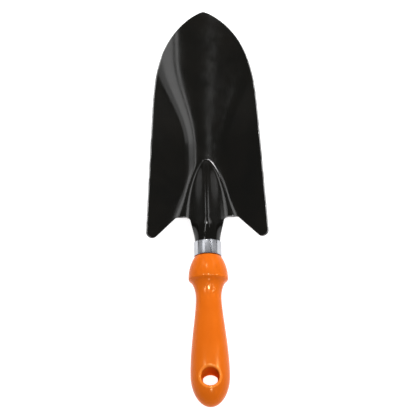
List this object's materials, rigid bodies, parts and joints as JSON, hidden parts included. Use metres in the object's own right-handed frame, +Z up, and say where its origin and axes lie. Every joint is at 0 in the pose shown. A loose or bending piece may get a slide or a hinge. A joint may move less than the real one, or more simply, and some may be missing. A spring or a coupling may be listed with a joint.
{
  "type": "hand trowel",
  "caption": "Garden hand trowel: pointed hollow pressed-steel blade with swept-back barbs and an arched neck, a bright ferrule and a moulded grip with a hang hole.",
  "frame": {"origin": "middle of the trowel's bounding box, on the ground that it lies on", "axes": "+Y along the handle's axis towards the blade's tip, +Z up out of the blade's hollow side, +X across the blade"},
  "size_m": [0.0848, 0.2911, 0.03],
  "materials": {
    "blade_paint": "black gloss powder coat with a slight orange-peel texture",
    "ferrule_metal": "bright zinc plate, smooth drawn tube",
    "handle_plastic": "smooth glossy moulded orange"
  },
  "bodies": {
    "root": {"blade": "blade_paint", "ferrule": "ferrule_metal", "handle": "handle_plastic"}
  },
  "joints": []
}
